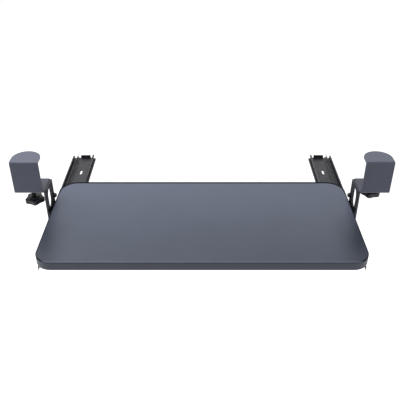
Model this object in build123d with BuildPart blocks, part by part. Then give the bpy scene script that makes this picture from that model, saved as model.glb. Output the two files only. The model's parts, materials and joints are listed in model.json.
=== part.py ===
from build123d import *
from math import cos, radians, sin, sqrt, tan
import os

# Clamp-on keyboard tray. Millimetres, +Z up, +Y towards the back of the desk.
# The origin is the centre of the tray's upper face, with the tray drawn out as in use.
# Each paired piece is made on the right-hand side (+X) and mirrored to the left.

# Tray board
tray_width = 680
tray_depth = 310
tray_thickness = 20
front_corner_radius = 35
rear_corner_radius = 40
top_sheet_thickness = 2
top_sheet_round = 1.2
edge_band_thickness = 1.5
edge_seam_height = 0.8
edge_seam_depth = 0.6

# How far the tray stands out of the clamps, and how much further it can come
rest_reach = 187
travel_out = 24

# Ball slides
slide_inset = 23
slide_width = 45
slide_height = 13
slide_length = 300
slide_sheet = 1.2
slide_front_setback = 12
rail_front_setback = 5
curl_radius = 6.35
lip_angle = 55
ball_diameter = 4.7
ball_clearance = 0.05
balls_per_row = 3
groove_radius = 2.9
groove_depth = 0.4
inner_wall_lift = 3
inner_fold_radius = 1.6
stop_tab_width = 10
stop_tab_lift = 1.6
stop_thickness = 3.5
stop_width = 26
stop_height = 8
stop_round = 2
stop_gap = 0.5

# Ball cage, a folded strip that runs just above the outer member's floor
cage_sheet = 0.6
cage_lift = 1.6
cage_web_half_width = 17
cage_height = 9.4
cage_ball_play = 0.1
cage_ball_margin = 10.3
cage_window_width = 22
cage_window_count = 3
cage_bridge = 8

# Folded clamp frame
clamp_gap = 10
clamp_sheet = 3
clamp_fold_radius = 1.5
relief_width = 0.5
relief_depth = 6
strap_width = 62.5
clamp_top = 123
arm_top = 47
arm_depth = 61.5
arm_corner_radius = 10
top_plate_depth = 52
plate_corner_radius = 9
window_width = 34
window_height = 53
window_from_back = 30.25
window_below_arm = 33.25

# Rubber under the top plate
top_pad_thickness = 2.5
top_pad_margin = 2

# Rail carrier, a black steel angle with a raised ear
carrier_sheet = 3
flange_width = 60
carrier_fold_radius = 1.5
flange_corner_radius = 6
wall_height = 12
wall_corner_radius = 4
front_wall_height = 24.5
ear_front_margin = 1.5
ear_below_arm = 0.5
ear_corner_radius = 3
ear_notch_rise = 11.5
ear_notch_run = 15
ear_notch_radius = 2
ear_window_width = 28
ear_window_height = 47.5
ear_root_radius = 8
slot_length = 24
slot_width = 6
slot_pitch = 72
slot_count = 3

# M6 countersunk bolts from outside, with nuts inside, that hold the carrier
bolt_diameter = 6
bolt_hole_diameter = 6.4
bolt_edge_margin = 6.9
top_bolt_height = 5.5
low_bolt_depth = 25
low_bolt_front_margin = 9
countersink_diameter = 11
countersink_angle = 45
hex_width = 10
nut_height = 5.2
bolt_end_length = 1.5
cap_hex_height = 4.5
cap_dome_diameter = 9.5
cap_dome_height = 3.3
cap_dome_round = 3
cap_bore_depth = 6

# Clamp screw, its nut and its swivelling foot
spindle_diameter = 10
spindle_play = 0.075
arm_hole_diameter = 11
weld_nut_width = 17
weld_nut_height = 6
pad_diameter = 32
pad_thickness = 2
plate_diameter = 34
plate_thickness = 3
plate_edge = 0.8
neck_diameter = 6
neck_play = 0.08
swage_diameter = 9
swage_height = 1.2
swage_recess = 1.6
swage_play = 0.3
swivel_gap = 0.1
spindle_reach = 36
pad_top_right = 79
pad_top_left = 60

# Star knob
knob_lobes = 5
knob_lobe_radius = 6.5
knob_lobe_ring = 15.5
knob_scallop_radius = 30
knob_height = 14
knob_boss_diameter = 22
knob_boss_height = 2.5
knob_chamfer = 1.2
knob_floor = 3
knob_turn_right = 177
knob_turn_left = -76

# How far the folded edge of the carrier runs into its wall
carrier_lap = 1

# Places worked out from the sizes above
core_thickness = tray_thickness - top_sheet_thickness
slide_centre = tray_width / 2 - slide_inset
slide_top = -tray_thickness
carrier_top = slide_top - slide_height
carrier_bottom = carrier_top - carrier_sheet
hanging_inner = tray_width / 2 + clamp_gap
hanging_outer = hanging_inner + clamp_sheet
carrier_inner = hanging_inner - carrier_sheet
flange_edge = hanging_inner - flange_width
strap_inner = hanging_outer + relief_width
strap_centre = strap_inner + strap_width / 2
clamp_front = rest_reach - tray_depth / 2
clamp_back = clamp_front + arm_depth
plate_back = clamp_front + clamp_sheet
hanging_front = clamp_front + clamp_sheet + clamp_fold_radius
arm_bottom = arm_top - clamp_sheet
seat_top = clamp_top - clamp_sheet
dee_start = clamp_front + top_plate_depth - strap_width / 2
screw_y = clamp_front + arm_depth / 2
window_y = clamp_back - window_from_back
window_z = arm_top - window_below_arm
ear_window_y = window_y - (window_width - ear_window_width) / 2
ear_window_z = window_z + (window_height - ear_window_height) / 2
rail_front = clamp_front + rail_front_setback
rail_back = rail_front + slide_length
rail_middle = rail_front + slide_length / 2
inner_front = -tray_depth / 2 + slide_front_setback
inner_back = inner_front + slide_length

# Section of the slide, measured from its centre line and from the carrier
raceway_radius = curl_radius - slide_sheet
curl_centre = slide_width / 2 - curl_radius
ball_radius = ball_diameter / 2
ball_u = curl_centre + raceway_radius - ball_radius - ball_clearance
groove_floor = ball_u - ball_radius - ball_clearance
inner_wall_outer = groove_floor + groove_depth
ball_z = carrier_top + curl_radius

# The cage keeps to the middle of the stretch where the two members overlap
overlap_at_rest = inner_back - rail_front
overlap_drawn_out = overlap_at_rest - travel_out
cage_length = overlap_drawn_out - 2 * (slide_sheet + stop_gap)
cage_middle = rail_front + overlap_at_rest / 2
ball_pitch = (cage_length - 2 * cage_ball_margin) / (balls_per_row - 1)
cage_window_pitch = (cage_length - cage_bridge) / cage_window_count
cage_window_length = cage_window_pitch - cage_bridge
travel_in = rail_back - stop_thickness - stop_gap - inner_back

# Bolt places on the hanging plate, as (y, z)
bolt_back = clamp_back - bolt_edge_margin
top_bolt = (bolt_back, top_bolt_height)
low_bolts = [(rail_front + low_bolt_front_margin, -low_bolt_depth), (bolt_back, -low_bolt_depth)]
countersink_run = (countersink_diameter - bolt_diameter) / 2
countersink_depth = countersink_run / tan(radians(countersink_angle))

os.makedirs("parts", exist_ok=True)


def write(shape, name):
    shape.label = name
    export_step(shape, f"parts/{name}.step")


def write_pair(right_part, name):
    """Writes a right-hand piece and its mirror image."""
    write(right_part, f"{name}_right")
    with BuildPart() as left:
        mirror(right_part, about=Plane.YZ)
    write(left.part, f"{name}_left")


def corners(*places):
    """The open sketch's corners at these places."""
    return [vertices().sort_by_distance(place)[0] for place in places]


def slide_plane(y):
    """Section plane of the right slide: x across it, y up from the carrier, facing forwards."""
    return Plane(origin=(slide_centre, y, carrier_top), x_dir=(1, 0, 0), z_dir=(0, -1, 0))


def tray_outline(inset):
    """Plan outline of the tray, moved inwards by inset."""
    Rectangle(tray_width - 2 * inset, tray_depth - 2 * inset)
    fillet(vertices().group_by(Axis.Y)[0], front_corner_radius - inset)
    fillet(vertices().group_by(Axis.Y)[-1], rear_corner_radius - inset)


def bolt_plane(x, place):
    """Plane at right angles to a carrier bolt, at this place on the hanging plate."""
    return Plane(origin=(x, place[0], place[1]), x_dir=(0, 1, 0), z_dir=(1, 0, 0))


def bolt_hole_outlines():
    """Clearance holes for the carrier bolts, in a Y-Z sketch."""
    with Locations(top_bolt, *low_bolts):
        Circle(bolt_hole_diameter / 2)


# Tray board: core, top sheet and edge band
with BuildPart() as tray_core:
    with BuildSketch(Plane.XY.offset(slide_top)):
        tray_outline(edge_band_thickness)
    extrude(amount=core_thickness)

with BuildPart() as tray_top_sheet:
    with BuildSketch(Plane.XY.offset(-top_sheet_thickness)):
        tray_outline(0)
    extrude(amount=top_sheet_thickness)
    fillet(edges().group_by(Axis.Z)[-1], top_sheet_round)

with BuildPart() as tray_edge_band:
    with BuildSketch(Plane.XY.offset(slide_top)):
        tray_outline(0)
    extrude(amount=core_thickness - edge_seam_height)
    with BuildSketch(Plane.XY.offset(-top_sheet_thickness - edge_seam_height)):
        tray_outline(edge_seam_depth)
    extrude(amount=edge_seam_height)
    with BuildSketch(Plane.XY.offset(slide_top)):
        tray_outline(edge_band_thickness)
    extrude(amount=core_thickness, mode=Mode.SUBTRACT)

# Clamp frame: one strip folded into top plate, front plate, arm and hanging plate
with BuildPart() as clamp_frame:
    with BuildSketch(Plane.YZ.offset(strap_inner)):
        with BuildLine():
            Polyline(
                (clamp_back, arm_bottom),
                (clamp_front, arm_bottom),
                (clamp_front, clamp_top),
                (dee_start, clamp_top),
                (dee_start, seat_top),
                (plate_back, seat_top),
                (plate_back, arm_top),
                (clamp_back, arm_top),
                close=True,
            )
        make_face()
        outer_folds = corners((clamp_front, arm_bottom), (clamp_front, clamp_top))
        fillet(outer_folds, clamp_fold_radius + clamp_sheet)
        inner_folds = corners((plate_back, seat_top), (plate_back, arm_top))
        fillet(inner_folds, clamp_fold_radius)
    extrude(amount=strap_width)
    with BuildSketch(Plane.XY.offset(seat_top)):
        with BuildLine():
            dee = CenterArc((strap_centre, dee_start), strap_width / 2, 0, 180)
            Line(dee @ 1, dee @ 0)
        make_face()
    extrude(amount=clamp_sheet)
    with BuildSketch(Plane.XZ.offset(-hanging_front)):
        with BuildLine():
            Polyline(
                (strap_centre, arm_top),
                (hanging_inner, arm_top),
                (hanging_inner, carrier_bottom),
                (hanging_outer, carrier_bottom),
                (hanging_outer, arm_bottom),
                (strap_centre, arm_bottom),
                close=True,
            )
        make_face()
        fillet(corners((hanging_inner, arm_top)), clamp_fold_radius + clamp_sheet)
        fillet(corners((hanging_outer, arm_bottom)), clamp_fold_radius)
    extrude(amount=hanging_front - clamp_back)
    with BuildSketch(Plane.XY.offset(arm_bottom - clamp_fold_radius)):
        with Locations((hanging_outer + relief_width / 2, clamp_front)):
            Rectangle(relief_width, 2 * relief_depth)
    extrude(amount=clamp_sheet + 2 * clamp_fold_radius, mode=Mode.SUBTRACT)
    fillet(edges().filter_by(Axis.X).group_by(Axis.Z)[0], plate_corner_radius)
    fillet(edges().filter_by(Axis.Z).group_by(Axis.X)[-1].sort_by(Axis.Y)[-1], arm_corner_radius)
    with BuildSketch(Plane.YZ.offset(hanging_inner)):
        with Locations((window_y, window_z)):
            SlotOverall(window_height, window_width, rotation=90)
        bolt_hole_outlines()
    extrude(amount=clamp_sheet, mode=Mode.SUBTRACT)
    for place in (top_bolt, *low_bolts):
        with BuildSketch(bolt_plane(hanging_outer, place)):
            Circle(countersink_diameter / 2)
        extrude(amount=-countersink_depth, taper=countersink_angle, mode=Mode.SUBTRACT)
    with BuildSketch(Plane.XY.offset(arm_bottom)):
        with Locations((strap_centre, screw_y)):
            Circle(arm_hole_diameter / 2)
    extrude(amount=clamp_sheet, mode=Mode.SUBTRACT)

with BuildPart() as clamp_top_pad:
    with BuildSketch(Plane.XY.offset(seat_top - top_pad_thickness)):
        pad_half = strap_width / 2 - top_pad_margin
        pad_front = plate_back + clamp_fold_radius
        with BuildLine():
            Polyline(
                (strap_centre - pad_half, dee_start),
                (strap_centre - pad_half, pad_front),
                (strap_centre + pad_half, pad_front),
                (strap_centre + pad_half, dee_start),
            )
            CenterArc((strap_centre, dee_start), pad_half, 0, 180)
        make_face()
    extrude(amount=top_pad_thickness)

with BuildPart() as weld_nut:
    with BuildSketch(Plane.XY.offset(arm_top)):
        with Locations((strap_centre, screw_y)):
            RegularPolygon(weld_nut_width / 2, 6, major_radius=False)
            Circle(spindle_diameter / 2 + spindle_play, mode=Mode.SUBTRACT)
    extrude(amount=weld_nut_height)


def slot_outlines():
    """Row of slots along the slide's centre line, in an X-Y sketch."""
    with Locations((slide_centre, rail_middle)):
        with GridLocations(slot_pitch, slot_pitch, 1, slot_count):
            SlotOverall(slot_length, slot_width, rotation=90)


# Rail carrier: an angle along the slide, with an ear that bolts to the hanging plate
with BuildPart() as rail_carrier:
    fold_top = carrier_top + carrier_fold_radius
    wall_top = carrier_bottom + wall_height
    front_wall_top = carrier_bottom + front_wall_height
    ear_front = hanging_front + ear_front_margin
    ear_top = arm_top - ear_below_arm
    with BuildSketch(Plane.XZ.offset(-rail_front)):
        with BuildLine():
            Polyline(
                (hanging_inner, fold_top + carrier_lap),
                (hanging_inner, carrier_bottom),
                (flange_edge, carrier_bottom),
                (flange_edge, carrier_top),
                (carrier_inner, carrier_top),
                (carrier_inner, fold_top + carrier_lap),
                close=True,
            )
        make_face()
        fillet(corners((hanging_inner, carrier_bottom)), carrier_fold_radius + carrier_sheet)
        fillet(corners((carrier_inner, carrier_top)), carrier_fold_radius)
    extrude(amount=-slide_length)
    fillet(edges().filter_by(Axis.Z).group_by(Axis.X)[0], flange_corner_radius)
    with BuildSketch(Plane.YZ.offset(carrier_inner)):
        with BuildLine():
            Polyline(
                (rail_front, fold_top),
                (rail_back, fold_top),
                (rail_back, wall_top),
                (clamp_back, wall_top),
                (clamp_back, ear_top),
                (ear_front, ear_top),
                (ear_front, front_wall_top + ear_notch_rise),
                (ear_front + ear_notch_run, front_wall_top),
                (rail_front, front_wall_top),
                close=True,
            )
        make_face()
        fillet(corners((rail_back, wall_top), (rail_front, front_wall_top)), wall_corner_radius)
        fillet(corners((clamp_back, wall_top)), ear_root_radius)
        fillet(corners((clamp_back, ear_top), (ear_front, ear_top)), ear_corner_radius)
        fillet(corners((ear_front + ear_notch_run, front_wall_top)), ear_notch_radius)
    extrude(amount=carrier_sheet)
    with BuildSketch(Plane.YZ.offset(carrier_inner)):
        with Locations((ear_window_y, ear_window_z)):
            SlotOverall(ear_window_height, ear_window_width, rotation=90)
        bolt_hole_outlines()
    extrude(amount=carrier_sheet, mode=Mode.SUBTRACT)
    with BuildSketch(Plane.XY.offset(carrier_bottom)):
        slot_outlines()
    extrude(amount=carrier_sheet, mode=Mode.SUBTRACT)


def hexagon(across_flats):
    RegularPolygon(across_flats / 2, 6, major_radius=False)


# Bolts: countersunk into the hanging plate from outside, each long enough for its nut
with BuildPart() as carrier_bolts:
    nut_run = nut_height + bolt_end_length
    for place, inside_run in ((top_bolt, cap_bore_depth), *((low, nut_run) for low in low_bolts)):
        with BuildSketch(bolt_plane(carrier_inner - inside_run, place)):
            Circle(bolt_diameter / 2)
        extrude(amount=inside_run + carrier_sheet + clamp_sheet)
        with BuildSketch(bolt_plane(hanging_outer, place)):
            Circle(countersink_diameter / 2)
        extrude(amount=-countersink_depth, taper=countersink_angle)

# Nuts inside the carrier: a cap nut at the top and plain ones below
with BuildPart() as carrier_nuts:
    for place, height in ((top_bolt, cap_hex_height), *((low, nut_height) for low in low_bolts)):
        with BuildSketch(bolt_plane(carrier_inner, place)):
            hexagon(hex_width)
        extrude(amount=-height)
    with BuildSketch(bolt_plane(carrier_inner - cap_hex_height, top_bolt)):
        Circle(cap_dome_diameter / 2)
    extrude(amount=-cap_dome_height)
    fillet(faces().sort_by(Axis.X)[0].edges(), cap_dome_round)
    add(carrier_bolts.part, mode=Mode.SUBTRACT)

# Fixed slide member: a shallow channel whose curled sides are the outer raceways
with BuildPart() as slide_outer:
    with BuildSketch(slide_plane(rail_front)):
        with BuildLine():
            sweep_angle = 90 + lip_angle
            outside = CenterArc((curl_centre, curl_radius), curl_radius, -90, sweep_angle)
            inside = CenterArc((curl_centre, curl_radius), raceway_radius, -90, sweep_angle)
            Line(outside @ 0, inside @ 0)
            Line(outside @ 1, inside @ 1)
        make_face()
        mirror(about=Plane.YZ)
        with Locations((0, slide_sheet / 2)):
            Rectangle(2 * curl_centre, slide_sheet)
    extrude(amount=-slide_length)
    with BuildSketch(slide_plane(rail_front)):
        with Locations((0, (slide_sheet + inner_wall_lift) / 2)):
            Rectangle(stop_tab_width, inner_wall_lift - slide_sheet)
    extrude(amount=-slide_sheet)
    with BuildSketch(Plane.XY.offset(carrier_top)):
        slot_outlines()
    extrude(amount=slide_sheet, mode=Mode.SUBTRACT)

with BuildPart() as slide_stop:
    with BuildSketch(slide_plane(rail_back - stop_thickness)):
        with Locations((0, slide_sheet + stop_height / 2)):
            RectangleRounded(stop_width, stop_height, stop_round)
    extrude(amount=-stop_thickness)

# Moving slide member: a web under the board, with grooved sides that run on the balls
with BuildPart() as slide_inner:
    groove_centre = groove_floor + groove_radius
    wall_middle = (inner_wall_lift + slide_height) / 2
    with BuildSketch(slide_plane(inner_front)):
        with Locations((inner_wall_outer - slide_sheet / 2, wall_middle)):
            Rectangle(slide_sheet, slide_height - inner_wall_lift)
        with Locations((groove_centre, curl_radius)):
            Circle(groove_radius + slide_sheet)
        with Locations((inner_wall_outer + slide_width / 2, curl_radius)):
            Rectangle(slide_width, 2 * slide_height, mode=Mode.SUBTRACT)
        with Locations((groove_centre, curl_radius)):
            Circle(groove_radius, mode=Mode.SUBTRACT)
        mirror(about=Plane.YZ)
        with Locations((0, slide_height - slide_sheet / 2)):
            Rectangle(2 * inner_wall_outer, slide_sheet)
        web_corners = corners((inner_wall_outer, slide_height), (-inner_wall_outer, slide_height))
        fillet(web_corners, inner_fold_radius)
    extrude(amount=-slide_length)
    with BuildSketch(slide_plane(inner_back - slide_sheet)):
        with Locations((0, (stop_tab_lift + slide_height) / 2)):
            Rectangle(stop_tab_width, slide_height - stop_tab_lift)
    extrude(amount=-slide_sheet)

# Ball cage: a folded strip with a pocket for each ball
with BuildPart() as ball_cage:
    cage_front = cage_middle - cage_length / 2
    cage_outer = ball_u + cage_sheet / 2
    cage_bend_top = cage_lift + cage_outer - cage_web_half_width
    bend_shift = cage_sheet * (sqrt(2) - 1)
    with BuildSketch(slide_plane(cage_front)):
        with BuildLine():
            Polyline(
                (0, cage_lift),
                (cage_web_half_width, cage_lift),
                (cage_outer, cage_bend_top),
                (cage_outer, cage_height),
                (cage_outer - cage_sheet, cage_height),
                (cage_outer - cage_sheet, cage_bend_top + bend_shift),
                (cage_web_half_width - bend_shift, cage_lift + cage_sheet),
                (0, cage_lift + cage_sheet),
                close=True,
            )
        make_face()
        mirror(about=Plane.YZ)
    extrude(amount=-cage_length)
    with BuildSketch(Plane.YZ.offset(slide_centre - slide_width / 2)):
        with Locations((cage_middle, ball_z)):
            with GridLocations(ball_pitch, ball_pitch, balls_per_row, 1):
                Circle(ball_radius + cage_ball_play)
    extrude(amount=slide_width, mode=Mode.SUBTRACT)
    with BuildSketch(Plane.XY.offset(carrier_top + cage_lift)):
        with Locations((slide_centre, cage_middle)):
            with GridLocations(cage_window_pitch, cage_window_pitch, 1, cage_window_count):
                Rectangle(cage_window_width, cage_window_length)
    extrude(amount=cage_sheet, mode=Mode.SUBTRACT)

with BuildPart() as slide_balls:
    with Locations((slide_centre, cage_middle, ball_z), (-slide_centre, cage_middle, ball_z)):
        with GridLocations(2 * ball_u, ball_pitch, 2, balls_per_row):
            Sphere(ball_radius)


def write_clamp_screw(side, side_name, pad_top, knob_turn):
    """Makes the clamp screw of one side, with its foot's rubber face at height pad_top."""
    x = side * strap_centre
    plate_top = pad_top - pad_thickness
    plate_bottom = plate_top - plate_thickness
    recess_floor = plate_top - swage_recess
    swage_floor = recess_floor + swivel_gap
    swage_radius = swage_diameter / 2
    neck_radius = neck_diameter / 2
    knob_top = plate_bottom - spindle_reach
    knob_bottom = knob_top - knob_height
    lobe_top = knob_top - knob_boss_height

    with BuildPart() as pressure_pad:
        with BuildSketch(Plane.XY.offset(plate_top)):
            with Locations((x, screw_y)):
                Circle(pad_diameter / 2)
        extrude(amount=pad_thickness)

    with BuildPart() as pressure_plate:
        with BuildSketch(Plane.XY.offset(plate_bottom)):
            with Locations((x, screw_y)):
                Circle(plate_diameter / 2)
        extrude(amount=plate_thickness)
        chamfer(faces().sort_by(Axis.Z)[0].edges(), plate_edge)
        with BuildSketch(Plane.XY.offset(plate_bottom)):
            with Locations((x, screw_y)):
                Circle(neck_radius + neck_play)
        extrude(amount=plate_thickness, mode=Mode.SUBTRACT)
        with BuildSketch(Plane.XY.offset(recess_floor)):
            with Locations((x, screw_y)):
                Circle(swage_radius + swage_play)
        extrude(amount=swage_recess, mode=Mode.SUBTRACT)

    # Spindle: swaged head in the plate, neck, shank, and a foot held in the knob
    with BuildPart() as clamp_spindle:
        for radius, low, high in (
            (spindle_diameter / 2, knob_bottom + knob_floor, plate_bottom - swivel_gap),
            (neck_radius, plate_bottom - swivel_gap, swage_floor),
            (swage_radius, swage_floor, swage_floor + swage_height),
        ):
            with BuildSketch(Plane.XY.offset(low)):
                with Locations((x, screw_y)):
                    Circle(radius)
            extrude(amount=high - low)

    # Knob: lobes joined by hollows that meet them in line
    turn = radians(knob_turn)
    half_step = 180 / knob_lobes
    reach = knob_lobe_radius + knob_scallop_radius
    along = knob_lobe_ring * cos(radians(half_step))
    across = knob_lobe_ring * sin(radians(half_step))
    scallop_ring = along + sqrt(reach**2 - across**2)
    share = knob_lobe_radius / reach
    scallop = Vector(scallop_ring, 0).rotate(Axis.Z, half_step)
    meet = Vector(knob_lobe_ring, 0) * (1 - share) + scallop * share
    meeting_points = [
        Vector(meet.X, end * meet.Y).rotate(Axis.Z, 2 * half_step * lobe)
        for lobe in range(knob_lobes)
        for end in (-1, 1)
    ]
    with BuildPart() as star_knob:
        knob_plane = Plane(origin=(x, screw_y, knob_bottom), x_dir=(cos(turn), sin(turn), 0))
        with BuildSketch(knob_plane):
            with BuildLine():
                Polyline(*meeting_points, close=True)
            make_face()
            with PolarLocations(knob_lobe_ring, knob_lobes):
                Circle(knob_lobe_radius)
            with PolarLocations(scallop_ring, knob_lobes, start_angle=half_step):
                Circle(knob_scallop_radius, mode=Mode.SUBTRACT)
        extrude(amount=knob_height - knob_boss_height)
        chamfer(faces().sort_by(Axis.Z)[0].edges(), knob_chamfer)
        chamfer(faces().sort_by(Axis.Z)[-1].edges(), knob_chamfer)
        with BuildSketch(Plane.XY.offset(lobe_top)):
            with Locations((x, screw_y)):
                Circle(knob_boss_diameter / 2)
        extrude(amount=knob_boss_height)
        add(clamp_spindle.part, mode=Mode.SUBTRACT)

    for piece, name in (
        (pressure_pad, "pressure_pad"),
        (pressure_plate, "pressure_plate"),
        (clamp_spindle, "clamp_spindle"),
        (star_knob, "star_knob"),
    ):
        write(piece.part, f"{name}_{side_name}")


write(tray_core.part, "tray_core")
write(tray_top_sheet.part, "tray_top_sheet")
write(tray_edge_band.part, "tray_edge_band")
write(slide_balls.part, "slide_balls")
write_pair(clamp_frame.part, "clamp_frame")
write_pair(clamp_top_pad.part, "clamp_top_pad")
write_pair(weld_nut.part, "weld_nut")
write_pair(rail_carrier.part, "rail_carrier")
write_pair(carrier_bolts.part, "carrier_bolts")
write_pair(carrier_nuts.part, "carrier_nuts")
write_pair(slide_outer.part, "slide_outer")
write_pair(slide_stop.part, "slide_stop")
write_pair(slide_inner.part, "slide_inner")
write_pair(ball_cage.part, "ball_cage")
write_clamp_screw(1, "right", pad_top_right, knob_turn_right)
write_clamp_screw(-1, "left", pad_top_left, knob_turn_left)
print("travel in", travel_in, "travel out", travel_out, "cage length", cage_length)
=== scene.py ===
# %% [markdown]
# # A clamp-on keyboard tray
#
# This notebook dresses an exact model of a tray that hangs from two clamps and slides out.
# The exact model gives every size. Blender gives what the eye adds: paint, worn edges, screw
# threads, lamps and a camera.
#
# The first cell loads the exact model. Its pieces come in as meshes in metres, with +X to the
# right, +Y to the back and +Z up. The body that moves each piece is read from model.json.

# %% Load the exact model
import json
import math

import bmesh
import bpy
import numpy as np
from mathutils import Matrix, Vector


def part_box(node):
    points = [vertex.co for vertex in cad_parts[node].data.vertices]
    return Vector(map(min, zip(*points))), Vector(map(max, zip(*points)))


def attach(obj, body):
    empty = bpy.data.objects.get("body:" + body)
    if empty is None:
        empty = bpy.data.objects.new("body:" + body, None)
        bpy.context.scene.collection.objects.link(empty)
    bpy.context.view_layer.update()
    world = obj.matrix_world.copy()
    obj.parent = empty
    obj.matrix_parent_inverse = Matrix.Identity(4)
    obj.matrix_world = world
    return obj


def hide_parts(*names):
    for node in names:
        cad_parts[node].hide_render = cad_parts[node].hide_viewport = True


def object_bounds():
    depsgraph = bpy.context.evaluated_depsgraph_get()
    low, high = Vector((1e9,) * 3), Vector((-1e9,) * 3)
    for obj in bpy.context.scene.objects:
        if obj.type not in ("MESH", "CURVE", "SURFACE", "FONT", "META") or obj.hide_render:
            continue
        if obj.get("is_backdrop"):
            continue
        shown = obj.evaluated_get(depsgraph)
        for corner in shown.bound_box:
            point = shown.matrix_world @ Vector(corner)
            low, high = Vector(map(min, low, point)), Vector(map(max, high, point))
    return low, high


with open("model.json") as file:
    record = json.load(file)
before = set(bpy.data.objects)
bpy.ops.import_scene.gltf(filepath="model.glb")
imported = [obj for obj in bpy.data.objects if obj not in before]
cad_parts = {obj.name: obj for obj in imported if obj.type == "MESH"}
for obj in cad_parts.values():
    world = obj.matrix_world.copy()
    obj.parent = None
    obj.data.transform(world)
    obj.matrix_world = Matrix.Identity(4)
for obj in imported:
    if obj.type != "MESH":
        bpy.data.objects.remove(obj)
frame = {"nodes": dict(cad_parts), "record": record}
cad_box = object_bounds()
MM = 0.001
record = frame["record"]
BODY_OF = {node: body for body, nodes in record["behaviour"]["bodies"].items() for node in nodes}

# %% [markdown]
# ## Writing materials as sums
#
# A material is a chain of nodes, and a chain of sums is hard to read as nodes. The small class
# below wraps one socket. Adding, multiplying or subtracting two of them adds the Math node that
# does it, so a mask can be written as an ordinary expression.

# %% A socket that can be added and multiplied
class Wire:
    """One value in a material. The operators on it add Math nodes."""

    def __init__(self, finish, socket):
        self.finish = finish
        self.socket = socket

    def math(self, operation, *values):
        return self.finish.math(operation, *values)

    def __add__(self, other):
        return self.math("ADD", self, other)

    def __radd__(self, other):
        return self.math("ADD", other, self)

    def __sub__(self, other):
        return self.math("SUBTRACT", self, other)

    def __rsub__(self, other):
        return self.math("SUBTRACT", other, self)

    def __mul__(self, other):
        return self.math("MULTIPLY", self, other)

    def __rmul__(self, other):
        return self.math("MULTIPLY", other, self)

    def __abs__(self):
        return self.math("ABSOLUTE", self)

    def ramp(self, low, high, start=0.0, end=1.0):
        """start below low, end above high, and a smooth S between them."""
        values = {"Value": self, "From Min": low, "From Max": high, "To Min": start, "To Max": end}
        return self.finish.node("ShaderNodeMapRange", {"interpolation_type": "SMOOTHSTEP"}, values)


# %% [markdown]
# ## One method for every other node
#
# A finish is a material being written. Its method `node` takes the type of a node, the settings
# that have to be made first, and the values or wires of its sockets. A number that holds all over
# the surface goes straight onto the shader's own socket.

# %% A finish is a material being written
FLAT_COSINE = 0.97
SHARP_COSINE = 0.80


class Finish:
    """A Principled material with helpers that add nodes to it."""

    def __init__(self, name, **constants):
        self.material = bpy.data.materials.new(name)
        self.material.use_nodes = True
        self.tree = self.material.node_tree
        self.shader = self.tree.nodes["Principled BSDF"]
        self.place = self.node("ShaderNodeTexCoord", output="Object")
        self.set(**constants)

    def node(self, kind, settings=None, values=None, output=0):
        """Adds a node, makes its settings, fills its sockets and returns one output."""
        made = self.tree.nodes.new(kind)
        for name, value in (settings or {}).items():
            setattr(made, name, value)
        for name, value in (values or {}).items():
            self.join(made.inputs[name], value)
        return Wire(self, made.outputs[output])

    def math(self, operation, *values):
        return self.node("ShaderNodeMath", {"operation": operation}, dict(enumerate(values)))

    def join(self, socket, value):
        """Links a wire to a socket, or sets the socket to a plain value."""
        if isinstance(value, Wire):
            self.tree.links.new(value.socket, socket)
        else:
            socket.default_value = value

    def set(self, **values):
        """Sets shader sockets: base_color is the socket Base Color, and so on."""
        for name, value in values.items():
            self.join(self.shader.inputs[name.replace("_", " ").title()], value)

    def axes(self):
        """The place on the piece as its x, y and z."""
        split = self.tree.nodes.new("ShaderNodeSeparateXYZ")
        self.join(split.inputs[0], self.place)
        return [Wire(self, output) for output in split.outputs]

    def noise(self, size, detail=2.0, stretch=None):
        """Cloudy noise from 0 to 1 with blotches about size metres across."""
        place = self.place
        if stretch:
            place = self.node("ShaderNodeMapping", None, {"Vector": place, "Scale": stretch})
        values = {"Vector": place, "Scale": 1 / size, "Detail": detail}
        return self.node("ShaderNodeTexNoise", None, values)

    def pits(self, size):
        """0 at scattered points about size metres apart, rising to 1 between them."""
        return self.node("ShaderNodeTexVoronoi", None, {"Vector": self.place, "Scale": 1 / size})

    def edge(self, radius):
        """1 along sharp edges and 0 on the flats, found by rounding the surface's direction."""
        rounded = self.node("ShaderNodeBevel", {"samples": 8}, {"Radius": radius})
        true = self.node("ShaderNodeNewGeometry", output="Normal")
        settings = {"operation": "DOT_PRODUCT"}
        agree = self.node("ShaderNodeVectorMath", settings, {0: rounded, 1: true}, "Value")
        return agree.ramp(FLAT_COSINE, SHARP_COSINE)

    def mix(self, mask, colour_a, colour_b):
        """colour_a where the mask is 0 and colour_b where it is 1."""
        settings = {"data_type": "RGBA", "clamp_factor": True}
        return self.node("ShaderNodeMix", settings, {0: mask, 6: colour_a, 7: colour_b}, 2)

    def bump(self, height, depth):
        """Relief: the height runs from 0 to 1 and the depth is its size in metres."""
        self.set(normal=self.node("ShaderNodeBump", None, {"Height": height, "Distance": depth}))

    def matt(self, mask, colour):
        """Where the mask is 1, a surface without any shine takes over."""
        powdery = self.node("ShaderNodeBsdfDiffuse", None, {"Color": colour})
        shiny = Wire(self, self.shader.outputs[0])
        both = self.node("ShaderNodeMixShader", None, {0: mask, 1: shiny, 2: powdery})
        self.join(self.tree.nodes["Material Output"].inputs["Surface"], both)


def rgb(red, green, blue):
    """A colour given in screen numbers from 0 to 255, turned into amounts of light."""
    screen = np.array([red, green, blue]) / 255
    light = np.where(screen <= 0.04045, screen / 12.92, ((screen + 0.055) / 1.055) ** 2.4)
    return (*light.tolist(), 1.0)


print("one class wraps a socket and one writes a finish")

# %% [markdown]
# ## Surfaces from grids
#
# Every new piece here is a closed skin over a grid of points: ring after ring along the piece,
# with the same number of points around each ring. Whole arrays of places are worked out at once,
# and one helper joins the rings and closes both ends.

# %% Rings of points become a closed mesh
SAME_POINT = 0.001 * MM


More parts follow.
